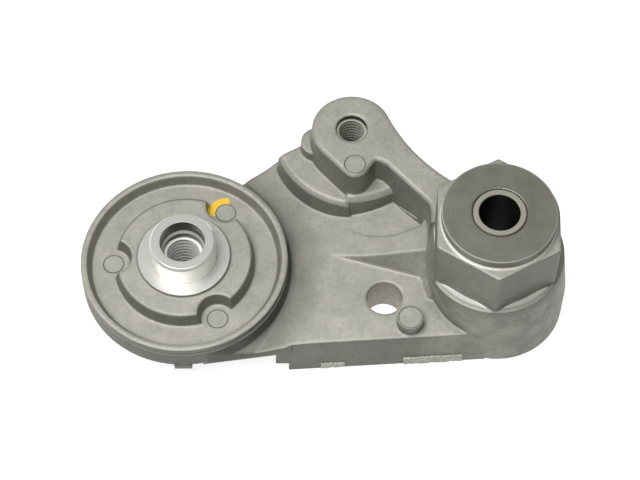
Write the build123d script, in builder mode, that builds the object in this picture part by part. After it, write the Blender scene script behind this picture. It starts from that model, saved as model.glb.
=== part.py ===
"""Belt tensioner arm: a die-cast aluminium lever that swings on a clamped steel sleeve.

The origin is the centre of the sleeve's rear end, +Z runs along the pivot towards the
hexagon, and the pulley seat lies towards -X. Millimetres.
"""
from build123d import *
import os
from math import cos, radians, sin, tan

# Pivot boss and hexagon
boss_rear_height = 1.0
boss_radius = 17.6
hex_across_flats = 30.0
hex_turn = -2.3
hex_runout_height = 26.0
hex_top_height = 42.0
face_disc_height = 3.0
hex_cut_corner_radius = 13.0
hex_corner_fillet = 0.8
face_disc_radius = 14.2
bank_height = 19.0
boss_lean = 1.6
boss_lean_height = 12.0

# Pivot sleeve and its two bushes
sleeve_bore_diameter = 10.2
sleeve_outer_diameter = 13.0
sleeve_proud = 0.1
sleeve_chamfer = 0.2
bush_running_clearance = 0.04
bush_wall = 0.3
bush_length = 16.0
bush_recess = 1.0
mouth_chamfer = 0.15

# Pulley disc, an open dish with a skirt
pulley_x = -78.6
pulley_y = 3.9
disc_radius = 26.5
disc_under_height = 7.8
disc_lip_height = 16.2
disc_lip_width = 1.5
disc_floor_height = 13.6
disc_floor_inset = 2.7
disc_skirt_step = 0.1
disc_cove_radius = 3.4
disc_skirt_wall = 2.4
disc_groove_height = 14.3
disc_groove_width = 0.7
disc_groove_depth = 0.6
disc_foot_chamfer = 1.0
island_height = 17.4
island_radius = 17.3
island_draft = 12.0
pad_ring_radius = 18.3
pad_angles = (180.0, 298.5, 56.0)
pad_bite_radius = 5.0

# Machined seat and spigot for the pulley's bearing, with an M10 thread
seat_height = 18.2
seat_radius = 11.8
spigot_radius = 8.5
spigot_height = 25.0
spigot_chamfer = 0.6
counterbore_radius = 5.75
counterbore_depth = 4.0
pulley_thread_radius = 5.0
pulley_thread_length = 15.0
hub_under_height = 3.3
hub_under_radius = 10.5

# Web, plateau and the spine that rises beside it
web_height = 12.0
web_low_height = 10.0
web_low_x = -60.0
spine_tip_x = -41.0
front_left_x = -52.0
front_left_y = -20.0
front_right_y = -17.2
front_fold_y = -11.0
front_slope = 3.0
front_wall_draft = 7.0
spine_tip_y = 7.2
spine_root_x = -18.0
spine_root_y = 0.3
spine_root_height = 18.5
spine_wall_draft = 33.0
spine_corner_radius = 1.5
panel_x = -37.0
panel_left_height = 12.6
panel_slope = 7.5
panel_width = 20.0
panel_edge_y = 14.6
panel_edge_bow = 3.7
hole_x = -27.4
hole_y = -5.6
hole_radius = 4.65
hole_boss_wall = 2.8
ejector_x = -21.0
ejector_y = -12.8
ejector_top_radius = 3.4
ejector_height = 3.0

# Strut ear with an M8 thread, rib, terrace and pocket
ear_x = -35.4
ear_y = 36.1
ear_radius = 10.3
ear_height = 27.5
ear_lobe_length = 11.0
ear_lobe_radius = 3.5
ear_thread_radius = 4.0
ear_mouth_chamfer = 0.35
ear_thread_length = 16.0
ear_draft = 4.0
rib_inner_x = -15.6
rib_inner_y = 13.2
notch_radius = 1.0
notch_corner_radius = 1.6
rib_corner_radius = 4.0
skirt_bump_radius = 4.2
skirt_bump_height = 21.0
terrace_height = 18.0
shelf_height = 19.2
wall_draft = 6.0
ear_edge_chamfer = 0.6
terrace_edge_chamfer = 1.0
shelf_edge_chamfer = 1.2

# Cored back of the arm
rear_rim_height = 0.3
skin = 3.6
web_skin = 2.1
rim_wall = 4.0
rib_wall = 3.0
back_corner_radius = 5.0
step_length = 3.3
step_height = 2.6
step_inset = 0.5
lug_length = 4.5
lug_height = 1.2

boss_face_height = hex_top_height + face_disc_height
sleeve_height = boss_face_height + sleeve_proud
disc_floor_radius = disc_radius - disc_floor_inset
disc_skirt_radius = disc_radius + disc_skirt_step
bush_bore_radius = sleeve_outer_diameter / 2 + bush_running_clearance
bush_outer_radius = bush_bore_radius + bush_wall
pulley_axis = Axis((pulley_x, pulley_y, 0), (0, 0, 1))
disc_plane = Plane((pulley_x, pulley_y, 0), x_dir=(1, 0, 0), z_dir=(0, -1, 0))
cut_height = 2 * boss_face_height


def on_disc(angle, radius=disc_radius):
    """A point at an angle round the pulley's axis."""
    return (pulley_x + radius * cos(radians(angle)), pulley_y + radius * sin(radians(angle)))


def from_ear(dx, dy):
    """A point offset from the strut thread's axis."""
    return (ear_x + dx, ear_y + dy)


pad_places = [on_disc(a, pad_ring_radius) for a in pad_angles]
front_left = (front_left_x, front_left_y)
front_right = (-1.5, front_right_y)
front_rise = web_height - rear_rim_height
front_inset = front_rise * tan(radians(front_wall_draft))
spine_slope = (spine_root_height - web_height) / (spine_root_x - spine_tip_x)
web_front_left = (front_left_x - 0.5, front_left_y + front_inset / 2)
web_front_corner = (front_left_x + 1.0, front_left_y + front_inset)
web_front_right = (-1.5, front_right_y + front_inset)
back_corner = (front_left_x + 3.0, spine_tip_y + 4.0)
ear_lobe = from_ear(0.7, -ear_lobe_length)

# What is cut away above the web, which rises from the pulley to the boss
with BuildPart() as web_slope:
    with BuildSketch(Plane.XZ.offset(-cut_height)):
        with BuildLine():
            slope = Spline(
                (pulley_x - 2 * disc_radius, web_low_height),
                (web_low_x, web_low_height),
                ((web_low_x + spine_tip_x) / 2, (web_low_height + 2 * web_height) / 3),
                (spine_tip_x, web_height),
                (spine_root_x, spine_root_height),
                (0.0, spine_root_height - spine_slope * spine_root_x),
                tangents=[(1, 0), (1, spine_slope)],
            )
            Polyline(slope @ 1, (0.0, cut_height), (pulley_x - 2 * disc_radius, cut_height), slope @ 0)
        make_face()
    extrude(amount=2 * cut_height)

# What is cut away in front of the plateau's fold line
with BuildPart() as front_slope_cut:
    with BuildSketch(Plane.YZ.offset(-cut_height)):
        with BuildLine():
            fold_end = 3 * front_left_y
            Polyline(
                (front_fold_y, web_height),
                (fold_end, web_height + (fold_end - front_fold_y) * tan(radians(front_slope))),
                (fold_end, cut_height),
                (front_fold_y, cut_height),
                close=True,
            )
        make_face()
    extrude(amount=2 * cut_height)

# The plateau with the through hole, sunk into the web in front of the spine
with BuildPart() as plateau_cut:
    with BuildSketch(Plane.XY.offset(web_height)) as plateau:
        spine_root = (spine_root_x, spine_root_y)
        spine_far = (2 * spine_tip_x - spine_root_x, 2 * spine_tip_y - spine_root_y)
        with BuildLine():
            Polyline(
                spine_far,
                spine_root,
                (1 - boss_radius, -boss_radius / 3),
                (-boss_radius / 2, -boss_radius / 2),
                (0.0, 2 * front_left_y),
                (spine_far[0], 2 * front_left_y),
                close=True,
            )
        make_face()
        fillet(plateau.vertices().sort_by_distance(spine_root)[0], radius=spine_corner_radius)
    extrude(amount=spine_root_height, taper=-spine_wall_draft)

# The flat panel left by the pocket's core, tilted up towards the boss
panel_plane = Plane((panel_x, 0, panel_left_height)).rotated((0, -panel_slope, 0))
with BuildPart() as panel:
    with BuildSketch(panel_plane):
        with BuildLine():
            lens = ThreePointArc(
                (0.0, panel_edge_y),
                (panel_width / 2, panel_edge_y - panel_edge_bow),
                (panel_width, panel_edge_y - 0.6 * panel_edge_bow),
            )
            Polyline(lens @ 1, (1.3 * panel_width, 1.6 * panel_edge_y), (0.0, 1.6 * panel_edge_y), lens @ 0)
        make_face()
    extrude(amount=spine_root_height)

# The rear block's outline, on the mounting side
with BuildSketch(Plane.XY.offset(rear_rim_height)) as block:
    with BuildLine():
        Polyline(
            (0.0, boss_radius - 2.0),
            (ear_x + 2.0, spine_tip_y + 12.0),
            back_corner,
            (front_left_x, spine_tip_y - 8.0),
            front_left,
            front_right,
            (0.0, 0.0),
            close=True,
        )
    make_face()
    fillet(block.vertices().sort_by_distance(back_corner)[:2], radius=back_corner_radius)

# The web's outline, from the disc round the ear and the boss
with BuildSketch(Plane.XY.offset(disc_under_height)) as web_outline:
    with BuildLine():
        far_edge = Spline(
            on_disc(60.0), from_ear(-27.6, -5.0), from_ear(-23.1, -2.2), from_ear(-19.0, 0.9),
            from_ear(-9.4, 3.4),
        )
        Polyline(far_edge @ 1, from_ear(0, 0), from_ear(11.6, -1.9))
        near_rib = Spline(
            from_ear(11.6, -1.9), from_ear(16.2, -8.3), (-10.0, 1.09 * boss_radius),
            (-4.0, 0.97 * boss_radius),
        )
        Polyline(
            near_rib @ 1, (0.0, 0.0), web_front_right, web_front_corner, web_front_left, on_disc(-79.0),
            (pulley_x, pulley_y), far_edge @ 0,
        )
    make_face()

# The cove where the disc's skirt runs out on the web
with BuildPart() as disc_cove:
    with BuildSketch(disc_plane):
        cove_low = web_low_height - 1.5
        cove_reach = disc_skirt_radius + disc_cove_radius
        cove_bend = disc_cove_radius * sin(radians(45))
        with BuildLine():
            Polyline(
                (cove_reach, web_low_height),
                (cove_reach - cove_bend, web_low_height + disc_cove_radius - cove_bend),
                (disc_skirt_radius, web_low_height + disc_cove_radius),
                (disc_skirt_radius - 1.0, web_low_height + disc_cove_radius),
                (disc_skirt_radius - 1.0, cove_low),
                (cove_reach, cove_low),
                close=True,
            )
        make_face()
    revolve(axis=pulley_axis)
    extrude(web_outline.sketch, amount=cut_height, mode=Mode.INTERSECT)

# Ear and rib: the highest cast face, which carries the strut's thread
with BuildPart() as ear:
    with BuildSketch(Plane.XY.offset(ear_height)):
        with Locations((ear_x, ear_y)):
            Circle(ear_radius)
        with Locations(ear_lobe):
            Circle(ear_lobe_radius)
        make_hull()
    extrude(amount=disc_under_height - ear_height, taper=-ear_draft)
    with BuildSketch(Plane.XY.offset(ear_height)) as rib:
        notch_left = from_ear(5.4, -8.9)
        notch_apex = from_ear(6.4, -8.9)
        notch_right = from_ear(8.6, -10.6)
        with BuildLine():
            outer = ThreePointArc(from_ear(9.3, 4.4), from_ear(17.9, -9.2), (-5.0, 0.97 * boss_radius))
            Polyline(
                outer @ 1, (0.0, 8.0), (rib_inner_x, 8.0), (rib_inner_x, rib_inner_y),
                notch_right, notch_left, from_ear(0, 0), outer @ 0,
            )
        make_face()
        fillet(rib.vertices().sort_by_distance((rib_inner_x, rib_inner_y))[0], radius=rib_corner_radius)
        fillet(rib.vertices().sort_by_distance(notch_right)[0], radius=notch_corner_radius)
    extrude(amount=disc_under_height - ear_height, taper=-ear_draft)
    fillet(ear.edges().sort_by_distance((*notch_apex, terrace_height))[0], radius=notch_radius)
    chamfer(ear.faces().sort_by(Axis.Z)[-1].edges(), length=ear_edge_chamfer)

# Terrace below the ear, and the pocket's floor beside it
with BuildPart() as terrace:
    with BuildSketch(Plane.XY.offset(terrace_height)):
        with BuildLine():
            step = ThreePointArc(from_ear(-19.0, -2.4), from_ear(-11.8, -12.7), from_ear(-1.0, -17.5))
            Polyline(step @ 1, from_ear(-0.4, -9.0), from_ear(-9.0, 1.0), from_ear(-13.6, 0.6), step @ 0)
        make_face()
    extrude(amount=disc_under_height - terrace_height, taper=-wall_draft)
    step_edges = terrace.faces().sort_by(Axis.Z)[-1].edges().sort_by_distance(from_ear(-11.8, -12.7))
    chamfer(step_edges[0], length=terrace_edge_chamfer)
with BuildPart() as shelf:
    with BuildSketch(Plane.XY.offset(shelf_height)):
        with BuildLine():
            shelf_edge = ThreePointArc(from_ear(-1.4, -16.8), from_ear(6.3, -15.6), from_ear(15.6, -10.4))
            Polyline(shelf_edge @ 1, from_ear(13.6, -3.9), from_ear(-1.4, -3.9), shelf_edge @ 0)
        make_face()
    extrude(amount=disc_under_height - shelf_height, taper=-wall_draft)
    shelf_edges = shelf.faces().sort_by(Axis.Z)[-1].edges().sort_by_distance(from_ear(6.3, -15.6))
    chamfer(shelf_edges[0], length=shelf_edge_chamfer)

# Pivot boss with its hexagon, one corner of which is well rounded, and the round face on top
with BuildPart() as boss:
    with BuildSketch(Plane.XY.offset(boss_rear_height)):
        with Locations((boss_lean, 0.0)):
            Circle(boss_radius)
    extrude(amount=boss_lean_height - boss_rear_height)
    with BuildSketch(Plane.XY.offset(boss_lean_height)):
        with Locations((boss_lean, 0.0)):
            Circle(boss_radius)
    with BuildSketch(Plane.XY.offset(hex_runout_height)):
        Circle(boss_radius)
    loft()
    with BuildSketch(Plane.XZ.offset(-boss_radius)):
        with BuildLine():
            Polyline(
                (-hex_across_flats / 2, hex_runout_height),
                (-boss_radius - 0.5, bank_height),
                (-boss_radius - 0.5, hex_runout_height),
                close=True,
            )
        make_face()
    extrude(amount=2 * boss_radius, mode=Mode.SUBTRACT)
    with BuildSketch(Plane.XY.offset(hex_runout_height)) as hexagon:
        RegularPolygon(hex_across_flats / 2, 6, major_radius=False, rotation=30 + hex_turn)
        corners = hexagon.vertices().sort_by_distance((boss_radius, hex_across_flats / 3))
        fillet(corners[0], radius=hex_cut_corner_radius)
        fillet(hexagon.vertices().sort_by_distance((0.0, 0.0))[-5:], radius=hex_corner_fillet)
    extrude(amount=hex_top_height - hex_runout_height)
    with BuildSketch(Plane.XY.offset(hex_top_height)):
        Circle(face_disc_radius)
    extrude(amount=boss_face_height - hex_top_height)

with BuildPart() as arm:
    # Web, and the drafted block behind it, which is cored out from the back between its ribs
    extrude(web_outline.sketch, amount=hex_runout_height - disc_under_height)
    extrude(block.sketch, amount=front_rise, taper=front_wall_draft)
    with BuildSketch(Plane.XY.offset(rear_rim_height + step_height)):
        with Locations((front_left_x - step_length, front_left_y + step_inset)):
            Rectangle(step_length + 3.0, 6.0, align=(Align.MIN, Align.MIN))
    extrude(amount=web_low_height - rear_rim_height - step_height - 1.0, taper=front_wall_draft)
    add(web_slope.part, mode=Mode.SUBTRACT)
    add(plateau_cut.part, mode=Mode.SUBTRACT)
    add(front_slope_cut.part, mode=Mode.SUBTRACT)
    add(panel.part, mode=Mode.SUBTRACT)
    with BuildSketch(Plane.XY.offset(rear_rim_height)):
        offset(block.sketch, amount=-rim_wall)
        Circle(boss_radius, mode=Mode.SUBTRACT)
        with Locations((hole_x, hole_y)):
            Circle(hole_radius + hole_boss_wall, mode=Mode.SUBTRACT)
            Rectangle(rib_wall, 3 * boss_radius, mode=Mode.SUBTRACT)
            Rectangle(4 * boss_radius, rib_wall, mode=Mode.SUBTRACT)
    extrude(amount=web_low_height - rear_rim_height - web_skin, mode=Mode.SUBTRACT)

    # Ear, terrace and pocket
    add(ear.part)
    with BuildSketch(Plane.XY.offset(skirt_bump_height)):
        with Locations(from_ear(-9.0, 0.2)):
            Circle(skirt_bump_radius)
    extrude(amount=disc_under_height - skirt_bump_height, taper=-ear_draft)
    add(terrace.part)
    add(shelf.part)

    add(boss.part)

    # Pulley disc, with its hub, turned about the pulley's axis
    add(disc_cove.part)
    with Locations((pulley_x, pulley_y, 0)):
        Cylinder(
            disc_skirt_radius - 0.5, cut_height, align=(Align.CENTER, Align.CENTER, Align.MIN),
            mode=Mode.SUBTRACT,
        )
    with BuildSketch(disc_plane):
        with BuildLine():
            Polyline(
                (0.0, hub_under_height),
                (hub_under_radius, hub_under_height),
                (hub_under_radius + 0.6, disc_floor_height - skin),
                (disc_skirt_radius - disc_skirt_wall - 1.0, disc_floor_height - skin),
                (disc_skirt_radius - disc_skirt_wall, disc_under_height),
                (disc_skirt_radius - disc_foot_chamfer, disc_under_height),
                (disc_skirt_radius, disc_under_height + disc_foot_chamfer),
                (disc_skirt_radius, disc_groove_height - disc_groove_width),
                (disc_radius - disc_groove_depth, disc_groove_height - disc_groove_width / 2),
                (disc_radius - disc_groove_depth, disc_groove_height),
                (disc_radius, disc_groove_height + disc_groove_width / 2),
                (disc_radius, disc_lip_height),
                (disc_radius - disc_lip_width, disc_lip_height),
                (disc_floor_radius, disc_floor_height),
                (0.0, disc_floor_height),
                close=True,
            )
        make_face()
    revolve(axis=pulley_axis)
    with BuildSketch(Plane.XY.offset(island_height)):
        with Locations((pulley_x, pulley_y)):
            Circle(island_radius)
        with Locations(*pad_places):
            Circle(pad_bite_radius, mode=Mode.SUBTRACT)
    extrude(amount=disc_floor_height - island_height, taper=-island_draft)
    with BuildSketch(disc_plane):
        with BuildLine():
            Polyline(
                (0.0, spigot_height),
                (spigot_radius - spigot_chamfer, spigot_height),
                (spigot_radius, spigot_height - spigot_chamfer),
                (spigot_radius, seat_height),
                (seat_radius, seat_height),
                (seat_radius, disc_floor_height - 1.0),
                (0.0, disc_floor_height - 1.0),
                close=True,
            )
        make_face()
    revolve(axis=pulley_axis)
    with BuildSketch(disc_plane):
        thread_top = spigot_height - counterbore_depth
        with BuildLine():
            Polyline(
                (0.0, spigot_height + 1.0),
                (counterbore_radius, spigot_height + 1.0),
                (counterbore_radius, thread_top),
                (pulley_thread_radius, thread_top - (counterbore_radius - pulley_thread_radius)),
                (pulley_thread_radius, thread_top - pulley_thread_length),
                (0.0, thread_top - pulley_thread_length - 1.0),
                close=True,
            )
        make_face()
    revolve(axis=pulley_axis, mode=Mode.SUBTRACT)

    # The boss's bore with its mouths
    with BuildSketch(Plane.XZ):
        mouth_radius = bush_outer_radius + mouth_chamfer
        with BuildLine():
            Polyline(
                (0.0, 0.0),
                (boss_radius - rim_wall, 0.0),
                (boss_radius - rim_wall, boss_rear_height),
                (mouth_radius, boss_rear_height),
                (bush_outer_radius, boss_rear_height + mouth_chamfer),
                (bush_outer_radius, boss_face_height - mouth_chamfer),
                (mouth_radius, boss_face_height),
                (0.0, boss_face_height),
                close=True,
            )
        make_face()
    revolve(axis=Axis.Z, mode=Mode.SUBTRACT)

    # Lug on the disc's front foot
    with BuildSketch(Plane.XY.offset(disc_under_height - lug_height)):
        with Locations(on_disc(-90.0, disc_skirt_radius)):
            Rectangle(lug_length, 3.0, align=(Align.CENTER, Align.MIN))
    extrude(amount=2 * lug_height)

    # Through hole, raised ejector boss, and the ear's thread
    with BuildSketch(Plane.XY):
        with Locations((hole_x, hole_y)):
            Circle(hole_radius)
    extrude(amount=web_height + 1.0, mode=Mode.SUBTRACT)
    with BuildSketch(Plane.XY.offset(web_height + ejector_height)):
        with Locations((ejector_x, ejector_y)):
            Circle(ejector_top_radius)
    extrude(amount=-ejector_height - 2.0)
    with BuildSketch(Plane.XY.offset(ear_height)):
        with Locations((ear_x, ear_y)):
            Circle(ear_thread_radius)
    extrude(amount=-ear_thread_length, mode=Mode.SUBTRACT)
    with BuildSketch(Plane.XY.offset(ear_height)):
        with Locations((ear_x, ear_y)):
            Circle(ear_thread_radius + ear_mouth_chamfer)
    extrude(amount=-ear_mouth_chamfer, taper=45, mode=Mode.SUBTRACT)

# The sleeve that the pivot bolt clamps, on which the arm swings
with BuildPart() as sleeve:
    with BuildSketch(Plane.XY):
        Circle(sleeve_outer_diameter / 2)
        Circle(sleeve_bore_diameter / 2, mode=Mode.SUBTRACT)
    extrude(amount=sleeve_height)
    chamfer(sleeve.edges().filter_by(GeomType.CIRCLE), length=sleeve_chamfer)


def pivot_bush(bottom):
    """One plain bush, pressed into the boss."""
    with BuildPart() as bush:
        with BuildSketch(Plane.XY.offset(bottom)):
            Circle(bush_outer_radius)
            Circle(bush_bore_radius, mode=Mode.SUBTRACT)
        extrude(amount=bush_length)
    return bush.part


front_bush = pivot_bush(boss_face_height - bush_recess - bush_length)
rear_bush = pivot_bush(boss_rear_height + bush_recess)

os.makedirs("parts", exist_ok=True)
pieces = {
    "arm_casting": arm.part,
    "pivot_sleeve": sleeve.part,
    "front_bush": front_bush,
    "rear_bush": rear_bush,
}
for label, piece in pieces.items():
    piece.label = label
    export_step(piece, f"parts/{label}.step")
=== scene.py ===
# %% [markdown]
# # A belt tensioner's cast arm
#
# The real object is one die casting: a pulley disc on the left, a pivot boss with a hexagon on
# the right, and an ear with a thread at the back. A steel sleeve runs through the boss.
# The solids come from the CAD frame and keep their shapes. This lesson dresses them: it cuts
# no metal, but adds the threads, the rough gate marks and the surface of each metal.

# %% Load the frame
import math

import bpy
from mathutils import Matrix, Vector


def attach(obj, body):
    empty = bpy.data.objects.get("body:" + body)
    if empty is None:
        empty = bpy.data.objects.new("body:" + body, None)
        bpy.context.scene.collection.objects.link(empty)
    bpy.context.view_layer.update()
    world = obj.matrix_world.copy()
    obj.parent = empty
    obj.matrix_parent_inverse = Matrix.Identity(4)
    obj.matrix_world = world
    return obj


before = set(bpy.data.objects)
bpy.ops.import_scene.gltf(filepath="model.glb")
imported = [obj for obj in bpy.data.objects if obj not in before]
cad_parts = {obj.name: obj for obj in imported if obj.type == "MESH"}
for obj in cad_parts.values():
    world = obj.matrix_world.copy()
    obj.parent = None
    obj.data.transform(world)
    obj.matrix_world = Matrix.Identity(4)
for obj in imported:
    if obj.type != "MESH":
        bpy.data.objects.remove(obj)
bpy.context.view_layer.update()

MM = 0.001
print("nodes:", sorted(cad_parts))

# %% [markdown]
# ## Where things are
#
# Every place is written once, in millimetres, in the frame of the CAD model. The pivot is the
# Z axis itself, so only the pulley, the ear, the hole and the small marks need their own centres.

# %% Places on the casting
PIVOT = (0.0, 0.0)
PULLEY = (-78.6, 3.9)
EAR = (-35.4, 36.1)
EAR_LOBE = (-34.7, 25.1)
HOLE = (-27.4, -5.6)
RAISED_EJECTOR = (-21.0, -12.8)


def metres(x, y, z):
    """A point given in millimetres, as a vector in metres."""
    return Vector((x * MM, y * MM, z * MM))


print("pulley to pivot:", round(math.hypot(*PULLEY), 1), "mm")

# %% [markdown]
# ## The camera
#
# The photograph looks down at about sixty degrees, from the front of the part. The lens is long,
# so the far edge of the disc is hardly smaller than the near one. The camera is placed from its
# target, its elevation and its distance, and rolled by a third of a degree.

# %% Camera
ELEVATION = math.radians(59.9)
ROLL = math.radians(0.33)
DISTANCE = 525 * MM
PIXELS_PER_MM = 3.95
IMAGE_WIDTH = 640
SENSOR = 36.0
target = metres(-43.79, 4.71, 24.0)

right = Vector((1, 0, 0))
up = Vector((0, math.sin(ELEVATION), math.cos(ELEVATION)))
back = Vector((0, -math.cos(ELEVATION), math.sin(ELEVATION)))
camera_data = bpy.data.cameras.new("camera")
camera_data.sensor_width = SENSOR
camera_data.lens = PIXELS_PER_MM * (DISTANCE / MM) * SENSOR / IMAGE_WIDTH
camera = bpy.data.objects.new("camera", camera_data)
bpy.context.scene.collection.objects.link(camera)
stand = Matrix.Translation(target + back * DISTANCE)
facing = Matrix((right, up, back)).transposed().to_4x4()
camera.matrix_world = stand @ facing @ Matrix.Rotation(-ROLL, 4, "Z")
bpy.context.scene.camera = camera
print("lens:", round(camera_data.lens, 1), "mm")

# %% [markdown]
# ## A short way to write materials
#
# A material is a graph of nodes, and graphs grow long when every node and link has its own line.
# This small class keeps one material with its nodes and links. Each method adds one kind of step
# and returns its result, so that a finish reads like a recipe.

# %% A finish is a material under construction
class Finish:
    """One material, with short ways to add the steps of its surface."""

    def __init__(self, name):
        self.material = bpy.data.materials.new(name)
        self.material.use_nodes = True
        tree = self.material.node_tree
        self.nodes, self.links = tree.nodes, tree.links
        self.shader = tree.nodes["Principled BSDF"]
        self.point = self.nodes.new("ShaderNodeTexCoord").outputs["Object"]

    def feed(self, socket, value):
        """Gives a socket a plain value, or links the result of another step to it."""
        if isinstance(value, bpy.types.NodeSocket):
            self.links.new(value, socket)
        else:
            socket.default_value = value

    def add(self, kind, inputs, **settings):
        """A new node with its inputs, by name or number, and its settings."""
        made = self.nodes.new(kind)
        for key, value in settings.items():
            setattr(made, key, value)
        for key, value in inputs.items():
            self.feed(made.inputs[key], value)
        return made

    def surface(self, **inputs):
        """Feeds the shader: base_color=..., roughness=..., and so on."""
        for key, value in inputs.items():
            self.feed(self.shader.inputs[key.replace("_", " ").title()], value)

    def maths(self, operation, a, b=0.0):
        """One sum on one or two values."""
        return self.add("ShaderNodeMath", {0: a, 1: b}, operation=operation).outputs[0]

    def product(self, first, *others):
        """Several values multiplied."""
        for other in others:
            first = self.maths("MULTIPLY", first, other)
        return first

    def largest(self, first, *others):
        """The largest of several values."""
        for other in others:
            first = self.maths("MAXIMUM", first, other)
        return first

    def rescale(self, value, low, high, to_low, to_high, shape="LINEAR"):
        """Maps low..high to to_low..to_high, clamped."""
        ends = {"From Min": low, "From Max": high, "To Min": to_low, "To Max": to_high}
        made = self.add("ShaderNodeMapRange", {"Value": value, **ends}, interpolation_type=shape)
        return made.outputs[0]

    def mix(self, factor, a, b):
        """Mixes two colours, each given as numbers or as a result."""
        return self.add("ShaderNodeMix", {0: factor, 6: a, 7: b}, data_type="RGBA").outputs[2]

    def mix_number(self, factor, a, b):
        """Mixes two numbers."""
        return self.add("ShaderNodeMix", {0: factor, 2: a, 3: b}, data_type="FLOAT").outputs[0]

    def mix_normal(self, factor, a, b):
        """Mixes two directions of the surface."""
        return self.add("ShaderNodeMix", {0: factor, 4: a, 5: b}, data_type="VECTOR").outputs[1]

    def tint(self, colour, factor):
        """A colour multiplied by a grey factor."""
        settings = {"data_type": "RGBA", "blend_type": "MULTIPLY"}
        return self.add("ShaderNodeMix", {0: 1.0, 6: colour, 7: factor}, **settings).outputs[2]

    def bump(self, height, strength, depth_mm, normal=None, invert=False):
        """The normal bent by a height, which is depth_mm deep where it is 1."""
        inputs = {"Height": height, "Strength": strength, "Distance": depth_mm * MM}
        if normal is not None:
            inputs["Normal"] = normal
        return self.add("ShaderNodeBump", inputs, invert=invert).outputs[0]


print("a finish can:", [name for name in vars(Finish) if not name.startswith("_")])

# %% [markdown]
# ## The studio
#
# The floor is a plain pale sheet. For the camera and for reflections it also glows a little, so
# that it reads as white paper, while the shadow under the part stays. One big soft lamp hangs
# overhead, a little to the left and in front. It is the reason why the top faces are pale and
# the walls that face us are dark. A weak one on the left keeps the far walls from going black.

# %% Floor
FLOOR_SIZE = 6.0
FLOOR_GREY = 0.35
FLOOR_GLOW = 0.86
bpy.ops.object.select_all(action="DESELECT")
bpy.ops.mesh.primitive_plane_add(size=FLOOR_SIZE, location=metres(0, 0, -0.2))
floor = bpy.context.object
floor.name = "floor"
paper = Finish("pale_floor")
paper.nodes.remove(paper.shader)
matte = paper.add("ShaderNodeBsdfDiffuse", {"Color": (FLOOR_GREY, FLOOR_GREY, FLOOR_GREY, 1)})
glow = paper.add("ShaderNodeEmission", {"Color": (1, 1, 1, 1), "Strength": FLOOR_GLOW})
no_glow = paper.add("ShaderNodeEmission", {"Strength": 0.0})
ray = paper.nodes.new("ShaderNodeLightPath").outputs
is_seen = paper.largest(ray["Is Camera Ray"], ray["Is Glossy Ray"], ray["Is Transmission Ray"])
shown = {0: is_seen, 1: no_glow.outputs[0], 2: glow.outputs[0]}
backdrop = paper.add("ShaderNodeMixShader", shown).outputs[0]
both = paper.add("ShaderNodeAddShader", {0: matte.outputs[0], 1: backdrop}).outputs[0]
paper.feed(paper.nodes["Material Output"].inputs["Surface"], both)
floor.data.materials.append(paper.material)
print("floor:", FLOOR_SIZE, "m square")

# %% Lamps and world
WORLD_STRENGTH = 0.13


def soft_lamp(name, offset, size, power):
    """A square area lamp at an offset from the target, turned towards it."""
    data = bpy.data.lights.new(name, "AREA")
    data.size = size
    data.energy = power
    lamp = bpy.data.objects.new(name, data)
    bpy.context.scene.collection.objects.link(lamp)
    lamp.location = target + Vector(offset)
    lamp.rotation_euler = (target - lamp.location).to_track_quat("-Z", "Y").to_euler()


soft_lamp("overhead", (-0.12, -0.10, 0.62), size=0.5, power=4.9)
soft_lamp("left_fill", (-0.70, 0.10, 0.35), size=0.4, power=0.6)
world = bpy.data.worlds.new("studio")
bpy.context.scene.world = world
world.use_nodes = True
sky = world.node_tree.nodes["Background"].inputs
sky["Color"].default_value = (1, 1, 1, 1)
sky["Strength"].default_value = WORLD_STRENGTH
bpy.context.scene.view_settings.view_transform = "Standard"

# %% [markdown]
# ## Masks from radius and height
#
# Die-cast aluminium has a matte, slightly blotchy skin with a fine grain. Where the part was
# turned on a lathe, the same metal is bright and carries rings. One material covers the whole
# casting, because the casting is one piece. Painting it by hand would need a texture, so masks
# made from the distance to each axis and from the height decide which metal shows.

# %% Distance, height, bands and noise
BELOW_ALL = -1
ABOVE_ALL = 60


def distance_from(finish, centre):
    """Distance of each point from a vertical axis, in millimetres."""
    centre = (centre[0] * MM, centre[1] * MM, 0)
    shifted = finish.add("ShaderNodeVectorMath", {0: finish.point, 1: centre}, operation="SUBTRACT")
    to_flat = {0: shifted.outputs[0], 1: (1 / MM, 1 / MM, 0)}
    flat = finish.add("ShaderNodeVectorMath", to_flat, operation="MULTIPLY").outputs[0]
    return finish.add("ShaderNodeVectorMath", {0: flat}, operation="LENGTH").outputs["Value"]


def height(finish):
    """Height of each point above the sleeve's rear end, in millimetres."""
    parts = finish.add("ShaderNodeSeparateXYZ", {0: finish.point})
    return finish.maths("DIVIDE", parts.outputs["Z"], MM)


def band(finish, value, low, high, soft=0.06):
    """1 where value lies between low and high, with a soft step at each end."""
    rise = finish.rescale(value, low - soft, low + soft, 0.0, 1.0, "SMOOTHSTEP")
    fall = finish.rescale(value, high - soft, high + soft, 1.0, 0.0, "SMOOTHSTEP")
    return finish.product(rise, fall)


def within(finish, value, high, soft=0.06):
    """1 where a distance is less than high."""
    return band(finish, value, BELOW_ALL, high, soft)


def noise(finish, size_mm, detail=3.0, roughness=0.55):
    """Noise whose features are about size_mm across."""
    inputs = {"Vector": finish.point, "Scale": 1 / (size_mm * MM)}
    inputs.update({"Detail": detail, "Roughness": roughness})
    return finish.add("ShaderNodeTexNoise", inputs).outputs["Fac"]


def spread(finish, value, to_low, to_high, reach=0.2):
    """Noise lies near one half: this widens it to run from to_low to to_high."""
    return finish.rescale(value, 0.5 - reach, 0.5 + reach, to_low, to_high)


print("mask helpers ready")

# %% [markdown]
# ## Rings and edges
#
# A lathe tool leaves rings, so its noise may change only with radius and height. Ejector pins
# leave a thin circle. The soft edges of a casting are found without touching the mesh: where the
# bevelled normal leaves the true one, an edge is near.

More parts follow.
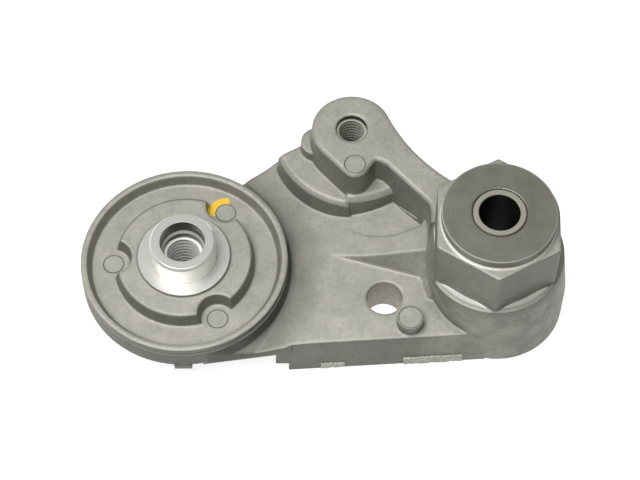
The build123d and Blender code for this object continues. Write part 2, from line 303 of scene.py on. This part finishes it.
# %% Lathe rings, thin circles and edges
def rings(finish, radius, z, pitch_mm):
    """Tool marks of a lathe."""
    along = finish.maths("ADD", radius, z)
    inputs = {"W": along, "Scale": 1 / pitch_mm, "Detail": 2.0}
    return finish.add("ShaderNodeTexNoise", inputs, noise_dimensions="1D").outputs["Fac"]


def circle_line(finish, radius, line_radius, width_mm):
    """1 on a thin circle of the given radius, 0 elsewhere."""
    half = width_mm / 2
    return band(finish, radius, line_radius - half, line_radius + half, soft=half)


def rounded_normal(finish, radius_mm, samples):
    """The surface's direction as if its edges were rounded."""
    return finish.add("ShaderNodeBevel", {"Radius": radius_mm * MM}, samples=samples).outputs[0]


def edge_mask(finish, normal, low, high):
    """1 near the edges, where a rounded normal leaves the true one."""
    true_normal = finish.nodes.new("ShaderNodeNewGeometry").outputs["True Normal"]
    agree = finish.add("ShaderNodeVectorMath", {0: normal, 1: true_normal}, operation="DOT_PRODUCT")
    return finish.rescale(agree.outputs["Value"], low, high, 1.0, 0.0)


print("ring and edge helpers ready")

# %% [markdown]
# ## Which metal shows where
#
# The lathe cut the seat and spigot on the disc and the round face over the hexagon. A cutter
# polished the crescents where the hexagon's flats run out and the foot of the round face, and
# their bright colour is also a painted highlight. All the rest is cast skin, and its walls are
# painted darker than its top faces as painted shade.

# %% Masks of the casting
SEAT_RADIUS = 11.8
SEAT_UNDER = 18.1
FACE_RADIUS = 13.9
FACE_UNDER = 44.9
MOUTH_RADIUS = 5.85
PULLEY_BORE, STRUT_BORE, HOLE_RADIUS = 5.1, 4.1, 4.75
EDGE_SOFTNESS = 1.2

cast = Finish("cast_aluminium")
z = height(cast)
from_pulley = distance_from(cast, PULLEY)
from_pivot = distance_from(cast, PIVOT)
from_ear = distance_from(cast, EAR)
from_hole = distance_from(cast, HOLE)


def ring_zone(distance, inner, outer, bottom, top, soft=0.06, level_soft=0.06):
    """1 in a ring about an axis, between two radii and two heights."""
    across = band(cast, distance, inner, outer, soft)
    return cast.product(across, band(cast, z, bottom, top, level_soft))


turned_hub = ring_zone(from_pulley, BELOW_ALL, SEAT_RADIUS, SEAT_UNDER, ABOVE_ALL)
turned_face = ring_zone(from_pivot, BELOW_ALL, FACE_RADIUS, FACE_UNDER, ABOVE_ALL)
crescents = ring_zone(from_pivot, 15.2, 16.3, 25.9, 26.3, soft=0.35)
face_foot = ring_zone(from_pivot, 13.9, 14.5, 41.8, 42.6, soft=0.25, level_soft=0.3)
polished_and_highlit = cast.largest(crescents, face_foot)
turned = cast.largest(turned_hub, turned_face, polished_and_highlit)
spigot_mouth = ring_zone(from_pulley, BELOW_ALL, MOUTH_RADIUS, 20.9, 24.9)
pulley_bore = ring_zone(from_pulley, BELOW_ALL, PULLEY_BORE, 5.0, 20.4)
strut_bore = ring_zone(from_ear, BELOW_ALL, STRUT_BORE, 11.0, 27.2)
tapped = cast.largest(pulley_bore, strut_bore)
in_hole = ring_zone(from_hole, BELOW_ALL, HOLE_RADIUS, BELOW_ALL, 11.8)

normal = cast.nodes.new("ShaderNodeNewGeometry").outputs["Normal"]
level = cast.add("ShaderNodeSeparateXYZ", {0: normal}).outputs["Z"]
walls = cast.rescale(cast.maths("ABSOLUTE", level), 0.3, 0.88, 1.0, 0.0)
soft_normal = rounded_normal(cast, EDGE_SOFTNESS, samples=6)
edges = edge_mask(cast, soft_normal, 0.75, 0.99)
print("mask nodes:", len(cast.nodes))

# %% [markdown]
# ## Ejector marks
#
# Pins pushed the casting out of its mould and left shallow round dips with a thin dark rim: three
# on the disc, one on the ear, one on a raised boss. They are a fraction of a millimetre deep, so
# a bump does for them. Two more thin circles follow the island's edge and the machined seat.

# %% Rims and dips of the ejector marks
PAD_RING_RADIUS = 18.3
PAD_ANGLES = (180.0, 298.5, 56.0)
DISC_FLOOR, EAR_TOP, EJECTOR_TOP = 13.6, 27.5, 15.0
RIM_WIDTH = 0.35


def on_disc(angle, radius):
    """A place on the disc, from an angle in degrees and a distance from the pulley's axis."""
    turn = math.radians(angle)
    return (PULLEY[0] + radius * math.cos(turn), PULLEY[1] + radius * math.sin(turn))


pads = [on_disc(angle, PAD_RING_RADIUS) for angle in PAD_ANGLES]
marks = [(pad, 2.6, DISC_FLOOR) for pad in pads]
marks += [(EAR_LOBE, 2.7, EAR_TOP), (RAISED_EJECTOR, 3.0, EJECTOR_TOP)]
at_island = band(cast, z, 17.3, 17.6)
rims = [
    cast.product(circle_line(cast, from_pulley, 17.15, 0.3), at_island),
    cast.product(circle_line(cast, from_pulley, 12.0, RIM_WIDTH), at_island),
]
dips = []
for centre, radius, top in marks:
    from_mark = distance_from(cast, centre)
    at_top = band(cast, z, top - 0.3, top + 0.3)
    rims.append(cast.product(circle_line(cast, from_mark, radius, RIM_WIDTH), at_top))
    dips.append(cast.product(within(cast, from_mark, radius, soft=0.12), at_top))
rims = cast.largest(*rims)
dips = cast.largest(*dips)
print("ejector marks:", len(marks))

# %% [markdown]
# ## Colour of the cast skin
#
# Three sizes of noise make the blotches, the mottle and the grain. Crevices are darkened as
# painted shade, edges get a painted highlight, the web beside the disc gets a painted shadow of
# the disc, and the walls are painted darker than the top faces as painted shade. The walls round
# the boss's foot are lighter again.

# %% Skin
SKIN_DARK = (0.37, 0.362, 0.31, 1)
SKIN_LIGHT = (0.435, 0.425, 0.365, 1)
EDGE_HIGHLIGHT = (0.62, 0.61, 0.56, 1)
RIM_SHADOW = (0.10, 0.10, 0.08, 1)
CREVICE_SHADE_MM = 5

blotches = noise(cast, 5.0, detail=4.0)
mottle = noise(cast, 1.1)
grain = noise(cast, 0.4, detail=4.0, roughness=0.7)
skin = cast.mix(spread(cast, blotches, 0.0, 1.0, reach=0.15), SKIN_DARK, SKIN_LIGHT)
skin = cast.tint(skin, spread(cast, mottle, 0.92, 1.07))
skin = cast.tint(skin, spread(cast, grain, 0.84, 1.12))
# Ambient occlusion darkens the crevices in the colour: painted shade.
crevice_shade = cast.add("ShaderNodeAmbientOcclusion", {"Distance": CREVICE_SHADE_MM * MM}, samples=8)
skin = cast.tint(skin, cast.rescale(crevice_shade.outputs["AO"], 0.25, 0.95, 0.82, 1.0))
# Edges, convex and concave, are painted lighter: a painted highlight.
skin = cast.mix(cast.maths("MULTIPLY", edges, 0.45), skin, EDGE_HIGHLIGHT)
skin = cast.mix(cast.maths("MULTIPLY", rims, 0.55), skin, RIM_SHADOW)
print("skin nodes:", len(cast.nodes))

# %% Darker and lighter places of the skin
HOLE_DARK = (0.30, 0.26, 0.18, 1)
HOLE_LIGHT = (0.62, 0.60, 0.53, 1)
TAPPED_BORE_SHADE = (0.035, 0.032, 0.022, 1)

# The low web beside the disc is darkened: a painted shadow of the disc.
disc_shadow = cast.rescale(from_pulley, 26.5, 38.0, 0.4, 1.0)
disc_shadow_zone = ring_zone(from_pulley, 26.6, 60.0, 8.0, 15.0)
skin = cast.mix(disc_shadow_zone, skin, cast.tint(skin, disc_shadow))
# Walls are painted darker than the top faces: painted shade.
skin = cast.tint(skin, cast.rescale(walls, 0.0, 1.0, 1.0, 0.55))
# The walls round the boss's foot are made lighter, in blotches.
near_boss = cast.rescale(from_pivot, 18.0, 27.0, 1.0, 0.0)
lighter_boss_walls = cast.product(near_boss, band(cast, z, BELOW_ALL, 23.0, soft=2.0), walls)
skin = cast.mix(lighter_boss_walls, skin, cast.tint(skin, spread(cast, blotches, 1.15, 1.6)))
skin = cast.mix(in_hole, skin, cast.mix(mottle, HOLE_DARK, HOLE_LIGHT))
# The tapped bores are painted nearly black, darkening the gaps between the thread's ridges: painted
# shade.
skin = cast.mix(tapped, skin, TAPPED_BORE_SHADE)
print("skin with stains:", len(cast.nodes), "nodes")

# %% [markdown]
# ## Colour of the turned metal
#
# The seat and the spigot are freshly cut and nearly white. The round face over the hexagon is
# duller and darker than the skin, with faint rings. The spigot's mouth lies in shadow.

# %% Turned metal
HUB_DARK = (0.66, 0.65, 0.60, 1)
HUB_LIGHT = (0.84, 0.83, 0.79, 1)
FACE_DARK = (0.225, 0.22, 0.18, 1)
FACE_LIGHT = (0.27, 0.265, 0.215, 1)
MOUTH_DARK = (0.16, 0.155, 0.13, 1)

hub_rings = rings(cast, from_pulley, z, pitch_mm=0.22)
face_rings = rings(cast, from_pivot, z, pitch_mm=0.5)
bright = cast.mix(spread(cast, hub_rings, 0.0, 1.0), HUB_DARK, HUB_LIGHT)
# The cut metal's walls are painted lighter and its top faces a little darker: a painted reflection.
bright = cast.tint(bright, cast.rescale(walls, 0.0, 1.0, 0.95, 1.35))
bright = cast.mix(spigot_mouth, bright, MOUTH_DARK)
dull = cast.mix(spread(cast, face_rings, 0.0, 1.0), FACE_DARK, FACE_LIGHT)
dull = cast.tint(dull, spread(cast, blotches, 0.85, 1.1))
colour = cast.mix(turned_hub, skin, bright)
colour = cast.mix(tapped, colour, skin)
# The crescents and the foot of the round face take the bright cut metal: partly polish, partly a
# painted highlight.
colour = cast.mix(polished_and_highlit, colour, bright)
colour = cast.mix(turned_face, colour, dull)
print("colour nodes:", len(cast.nodes))

# %% [markdown]
# ## A dab of yellow paint
#
# An inspector's dab of yellow sits on the upper left of one pad. It is a piece of a ring round
# the pad, cut off by a second, larger circle whose edge is made ragged with noise.

# %% Paint
PAINT_DARK = (0.78, 0.46, 0.02, 1)
PAINT_LIGHT = (0.92, 0.62, 0.05, 1)
daubed_pad = pads[2]
cut_centre = (daubed_pad[0] - 4.2, daubed_pad[1] + 4.3)

ragged = noise(cast, 1.5)
from_cut = cast.maths("ADD", distance_from(cast, cut_centre), spread(cast, ragged, -0.5, 0.5))
daub = cast.product(
    band(cast, distance_from(cast, daubed_pad), 2.7, 4.5),
    band(cast, from_cut, -2.0, 5.2),
    band(cast, z, 13.0, 17.9),
)
colour = cast.mix(daub, colour, cast.mix(ragged, PAINT_DARK, PAINT_LIGHT))
print("daub at", [round(value, 1) for value in daubed_pad])

# %% [markdown]
# ## Gloss and relief of the casting
#
# Cut metal is smoother and more metallic than cast skin, and paint is neither. The skin's edges
# are rounded in the shading by a millimetre, as a mould's are, and those of the cuts stay crisp.

# %% Gloss and relief
CRISP_EDGE = 0.25

roughness = spread(cast, grain, 0.40, 0.58)
metallic = cast.mix_number(turned, 0.35, 0.55)
for zone, zone_roughness in ((turned_hub, 0.26), (turned_face, 0.36), (daub, 0.5)):
    roughness = cast.mix_number(zone, roughness, zone_roughness)
metallic = cast.mix_number(daub, metallic, 0.0)
crisp_normal = rounded_normal(cast, CRISP_EDGE, samples=4)
relief = cast.mix_normal(turned, soft_normal, crisp_normal)
relief = cast.bump(dips, 1.0, depth_mm=0.3, normal=relief, invert=True)
relief = cast.bump(grain, 0.3, depth_mm=0.1, normal=relief)
cast.surface(base_color=colour, roughness=roughness, metallic=metallic, normal=relief)


def dress(name, finish):
    """Gives a node of the CAD model its finish."""
    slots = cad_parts[name].data.materials
    slots.clear()
    slots.append(finish.material)


dress("arm_casting", cast)
print("cast material:", len(cast.nodes), "nodes")

# %% [markdown]
# ## The sleeve and the bushes
#
# The sleeve is ground steel, a little warmer than the casting, with fine rings on its end, and
# its bore is painted nearly black as painted shade. The bushes are bearing bronze, seen only as a
# dark line round the sleeve.

# %% Ground steel and bearing bronze
SLEEVE_BORE_SHADE = (0.022, 0.024, 0.016, 1)


def ringed_metal(name, dark, light, roughness, pitch_mm):
    """A metal with lathe rings about the pivot."""
    metal = Finish(name)
    z = height(metal)
    radius = distance_from(metal, PIVOT)
    marks = rings(metal, radius, z, pitch_mm)
    face = metal.mix(spread(metal, marks, 0.0, 1.0), dark, light)
    # The bore is painted nearly black: painted shade.
    bore = metal.product(within(metal, radius, 5.2), band(metal, z, 0.3, 44.8))
    metal.surface(
        base_color=metal.mix(bore, face, SLEEVE_BORE_SHADE),
        roughness=spread(metal, marks, roughness - 0.06, roughness + 0.06),
        metallic=0.5,
        normal=metal.bump(marks, 0.2, depth_mm=0.03),
    )
    return metal


steel = ringed_metal("ground_steel", (0.40, 0.39, 0.32, 1), (0.52, 0.505, 0.42, 1), 0.34, 0.25)
bronze = ringed_metal("bearing_bronze", (0.10, 0.08, 0.05, 1), (0.17, 0.13, 0.08, 1), 0.45, 0.3)
dress("pivot_sleeve", steel)
dress("front_bush", bronze)
dress("rear_bush", bronze)
print("dressed: pivot_sleeve, front_bush, rear_bush")

# %% [markdown]
# ## The threads
#
# Both tapped holes are smooth in the CAD model, at the thread's largest radius, because a helix
# is heavy and nothing is measured from it. Here each thread is a small four-sided ridge that is
# swept up a helix by the Screw modifier, which is the same motion as the tap's.

# %% One thread ridge
INTO_WALL = 0.02
ROOT_SHARE = 0.7
CREST_SHARE = 0.3
STEPS_PER_TURN = 56


def ride_on_arm(piece, finish):
    """Finishes a piece of the casting and lets it move with the arm."""
    piece.data.materials.append(finish.material)
    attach(piece, "arm")


def ridge_section(name, low, outer, inner, pitch):
    """The four-sided outline of the ridge, wide at the wall and narrow at its crest."""
    middle = (outer + inner) / 2 * MM
    level = (low + pitch / 2) * MM
    bpy.ops.object.select_all(action="DESELECT")
    bpy.ops.mesh.primitive_plane_add(size=1.0, location=(0, 0, 0), rotation=(math.pi / 2, 0, 0))
    ridge = bpy.context.object
    ridge.name = name
    bpy.ops.object.transform_apply(location=True, rotation=True, scale=True)
    bpy.ops.object.mode_set(mode="EDIT")
    bpy.ops.mesh.select_all(action="SELECT")
    bpy.ops.mesh.delete(type="ONLY_FACE")
    bpy.ops.mesh.select_all(action="SELECT")
    bpy.ops.transform.resize(value=((outer - inner) * MM, 1, pitch * ROOT_SHARE * MM))
    bpy.ops.transform.translate(value=(middle, 0, level))
    bpy.ops.object.mode_set(mode="OBJECT")
    for vertex in ridge.data.vertices:
        vertex.select = vertex.co.x < middle
    bpy.ops.object.mode_set(mode="EDIT")
    crest = (inner * MM, 0, level)
    bpy.ops.transform.resize(value=(1, 1, CREST_SHARE), center_override=crest)
    bpy.ops.object.mode_set(mode="OBJECT")
    return ridge


def thread_ridge(name, centre, low, high, outer, inner, pitch, finish):
    """The ridge left by a tap, between two heights."""
    ridge = ridge_section(name, low, outer + INTO_WALL, inner, pitch)
    sweep = ridge.modifiers.new("sweep", "SCREW")
    sweep.axis = "Z"
    sweep.angle = 2 * math.pi
    sweep.screw_offset = pitch * MM
    sweep.iterations = round((high - low) / pitch) - 1
    sweep.steps = sweep.render_steps = STEPS_PER_TURN
    sweep.use_merge_vertices = False
    sweep.use_smooth_shade = False
    bpy.ops.object.modifier_apply(modifier=sweep.name)
    bpy.ops.object.mode_set(mode="EDIT")
    bpy.ops.mesh.select_all(action="DESELECT")
    bpy.ops.mesh.select_non_manifold()
    bpy.ops.mesh.fill_holes(sides=4)
    bpy.ops.mesh.select_all(action="SELECT")
    bpy.ops.mesh.normals_make_consistent(inside=False)
    bpy.ops.transform.translate(value=metres(*centre, 0))
    bpy.ops.object.mode_set(mode="OBJECT")
    bpy.ops.object.shade_smooth_by_angle(angle=math.radians(35))
    ride_on_arm(ridge, finish)
    print(name, "faces:", len(ridge.data.polygons))


print("thread helper ready")

# %% [markdown]
# ## The two tapped holes
#
# The pulley's thread is M10, pale cut metal painted near white as a painted reflection. The
# strut's thread in the ear is M8 and painted darker as painted shade.
# Each starts just below the mouth of its tapped hole, as the photograph shows.

# %% Pulley thread and strut thread
def tapped_metal(name, dark, light):
    """The streaked metal of a thread."""
    metal = Finish(name)
    streaks = noise(metal, 0.35)
    metal.surface(
        base_color=metal.mix(streaks, dark, light),
        roughness=spread(metal, streaks, 0.22, 0.4),
        metallic=0.15,
    )
    return metal


# The pulley's thread is pale cut metal and a painted reflection; the strut's is painted darker as
# painted shade.
thread_with_reflection = tapped_metal("thread_painted_reflection", (0.88, 0.87, 0.83, 1), (0.98, 0.97, 0.94, 1))
thread_with_shade = tapped_metal("thread_painted_shade", (0.30, 0.29, 0.24, 1), (0.62, 0.61, 0.54, 1))
thread_ridge(
    "pulley_thread", PULLEY, low=6.9, high=20.4, outer=5.0, inner=4.25, pitch=1.5, finish=thread_with_reflection
)
thread_ridge(
    "strut_thread", EAR, low=12.25, high=27.25, outer=4.0, inner=3.4, pitch=1.25, finish=thread_with_shade
)

# %% [markdown]
# ## Gate stubs and flash
#
# The metal entered the mould through two gates along the block's lower front edge. They were
# broken off, and what stays is a thin rough step that shines. Where the halves of the mould met,
# metal squeezed into the gap and left a ragged hair of flash. A block is subdivided and its
# vertices are shaken with a fixed seed, which is quick and looks torn rather than cut.

# %% Torn metal
TORN_DARK = (0.26, 0.255, 0.21, 1)
TORN_LIGHT = (0.66, 0.65, 0.58, 1)
torn = Finish("torn_metal")
crumbs = noise(torn, 0.5, detail=5.0, roughness=0.7)
torn.surface(
    base_color=torn.mix(spread(torn, crumbs, 0.0, 1.0, reach=0.15), TORN_DARK, TORN_LIGHT),
    roughness=spread(torn, crumbs, 0.55, 0.32),
    metallic=0.4,
    normal=torn.bump(crumbs, 0.6, depth_mm=0.15),
)
print("torn metal:", len(torn.nodes), "nodes")

# %% One torn strip
ALONG_X, ALONG_Z = 0, 2
EDGE_WIDTH = 0.03


def cut_across(strip, axis, cuts):
    """Subdivides the edges of a strip that run along one axis."""
    bpy.ops.object.mode_set(mode="EDIT")
    bpy.ops.mesh.select_mode(type="EDGE")
    bpy.ops.mesh.select_all(action="DESELECT")
    bpy.ops.object.mode_set(mode="OBJECT")
    points = strip.data.vertices
    for edge in strip.data.edges:
        step = points[edge.vertices[0]].co - points[edge.vertices[1]].co
        edge.select = abs(step[axis]) > 0.9 * step.length
    bpy.ops.object.mode_set(mode="EDIT")
    bpy.ops.mesh.subdivide(number_cuts=cuts)
    bpy.ops.mesh.select_all(action="SELECT")


def torn_strip(name, start, end, thick, tall, cuts, rows, shake, seed, lean=0.0):
    """A ragged strip of metal between two places, thick across and tall along Z."""
    start, end = metres(*start), metres(*end)
    run = end - start
    bpy.ops.object.select_all(action="DESELECT")
    bpy.ops.mesh.primitive_cube_add(size=1.0, location=(0, 0, 0))
    strip = bpy.context.object
    strip.name = name
    bpy.ops.object.mode_set(mode="EDIT")
    bpy.ops.mesh.select_all(action="SELECT")
    size = (run.length, thick * MM, tall * MM)
    bpy.ops.transform.resize(value=size, center_override=(0, 0, 0))
    cut_across(strip, ALONG_X, cuts)
    if rows:
        cut_across(strip, ALONG_Z, rows)
    bpy.ops.transform.vertex_random(offset=shake * MM, uniform=0.3, normal=0.0, seed=seed)
    bpy.ops.object.mode_set(mode="OBJECT")
    middle = Matrix.Translation((start + end) / 2)
    lay = run.to_track_quat("X", "Z").to_matrix().to_4x4()
    strip.matrix_world = middle @ lay @ Matrix.Rotation(lean, 4, "X")
    bpy.ops.object.transform_apply(location=True, rotation=True, scale=True)
    soften = strip.modifiers.new("soften", "BEVEL")
    soften.width = EDGE_WIDTH * MM
    soften.segments = 2
    soften.limit_method = "ANGLE"
    bpy.ops.object.modifier_apply(modifier=soften.name)
    bpy.ops.object.shade_smooth_by_angle(angle=math.radians(50))
    ride_on_arm(strip, torn)
    print(name, "faces:", len(strip.data.polygons))


print("strip helper ready")

# %% [markdown]
# ## Placing the torn pieces
#
# The stubs lean with the draft of the front wall. The flash lies along the foot of the rib's
# wall in the pocket and on the rib's outer top edge.

# %% Two gate stubs and two hairs of flash
DRAFT = math.radians(-7)
torn_strip(
    "gate_stub_right", (-22.6, -18.15, 1.75), (-7.4, -17.3, 1.75),
    thick=0.9, tall=2.6, cuts=26, rows=3, shake=0.2, seed=3, lean=DRAFT,
)
torn_strip(
    "gate_stub_left", (-43.8, -19.3, 1.5), (-37.6, -18.95, 1.5),
    thick=0.8, tall=2.0, cuts=11, rows=2, shake=0.18, seed=5, lean=DRAFT,
)
torn_strip(
    "flash_in_pocket", (-22.9, 19.9, 14.6), (-18.6, 14.9, 17.0),
    thick=0.4, tall=0.45, cuts=20, rows=0, shake=0.1, seed=7,
)
torn_strip(
    "flash_on_rib", (-18.4, 23.7, 27.5), (-14.6, 22.2, 27.5),
    thick=0.25, tall=0.3, cuts=16, rows=0, shake=0.07, seed=9,
)

# %% [markdown]
# ## Finish
